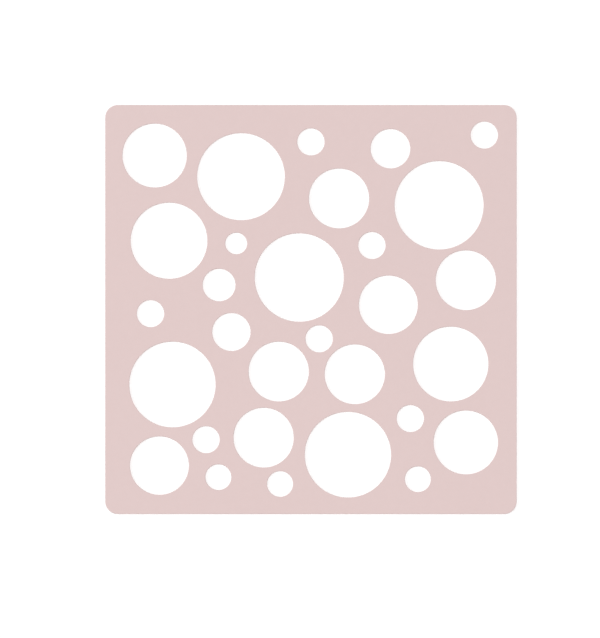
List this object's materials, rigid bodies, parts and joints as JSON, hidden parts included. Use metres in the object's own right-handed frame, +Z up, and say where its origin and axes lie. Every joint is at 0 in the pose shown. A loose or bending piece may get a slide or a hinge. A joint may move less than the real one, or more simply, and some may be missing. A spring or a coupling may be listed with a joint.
{
  "type": "circle template",
  "caption": "Flat square drawing template in pale pink plastic, with rounded corners and scattered round holes of graded sizes for tracing circles.",
  "frame": {"origin": "middle of the sheet's underside, on the surface that it lies on", "axes": "+Z up, square to the sheet; +X to the right-hand edge and +Y to the top edge of the face that shows"},
  "size_m": [0.15, 0.15, 0.001],
  "materials": {
    "plate": "opaque pale dusty-pink plastic sheet with a fine satin face and smooth, slightly rounded cut edges"
  },
  "bodies": {
    "root": {"template_plate": "plate"}
  },
  "joints": []
}
